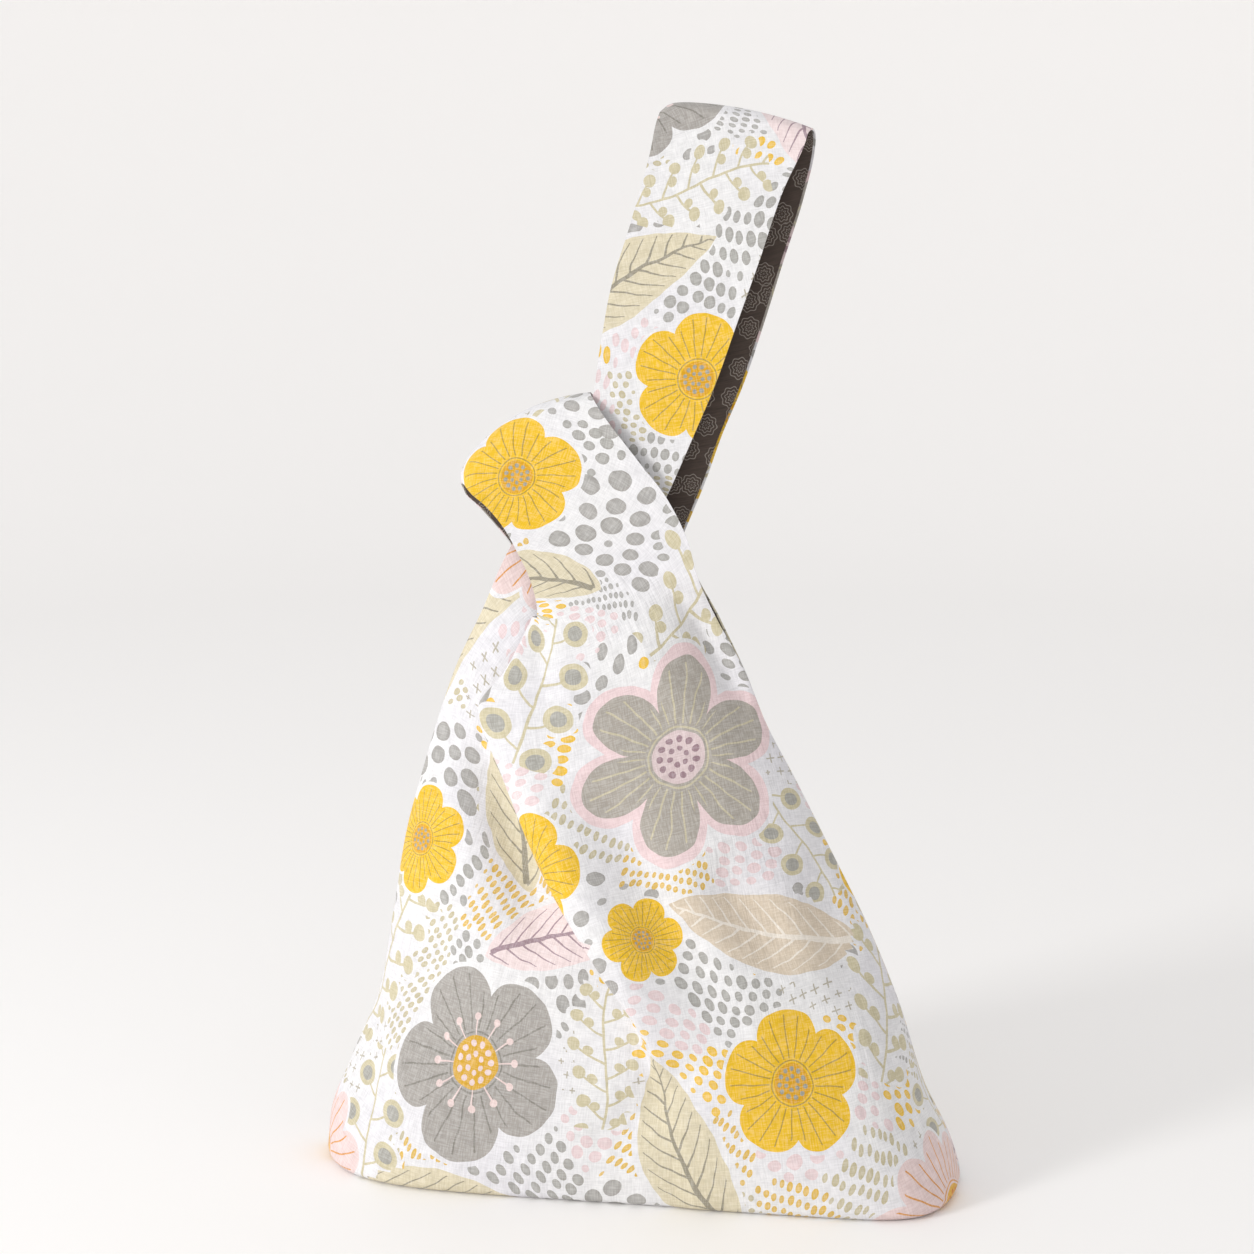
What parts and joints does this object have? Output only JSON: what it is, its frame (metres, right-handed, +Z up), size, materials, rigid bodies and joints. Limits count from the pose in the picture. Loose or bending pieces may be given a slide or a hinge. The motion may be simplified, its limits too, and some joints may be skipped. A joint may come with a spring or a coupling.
{
  "type": "knot bag",
  "caption": "Lined cotton knot bag standing on a flat base, its long handle drawn through the short one so that the front laps in a soft pleat.",
  "frame": {"origin": "on the floor, at the middle of the bag's box", "axes": "+X along the base towards the side that the long handle leans to, +Y to the back, +Z up"},
  "size_m": [0.3397, 0.1563, 0.5664],
  "materials": {
    "printed_cotton": "plain-weave cotton, white ground with a printed pattern of flowers, leaves and dots in mustard, warm grey, sand and blush",
    "dark_lining": "plain-weave cotton in dark brown grey with faint pale line drawing"
  },
  "bodies": {
    "root": {"outer_front": "printed_cotton", "outer_back": "printed_cotton", "lining_front": "dark_lining", "lining_back": "dark_lining"}
  },
  "joints": []
}
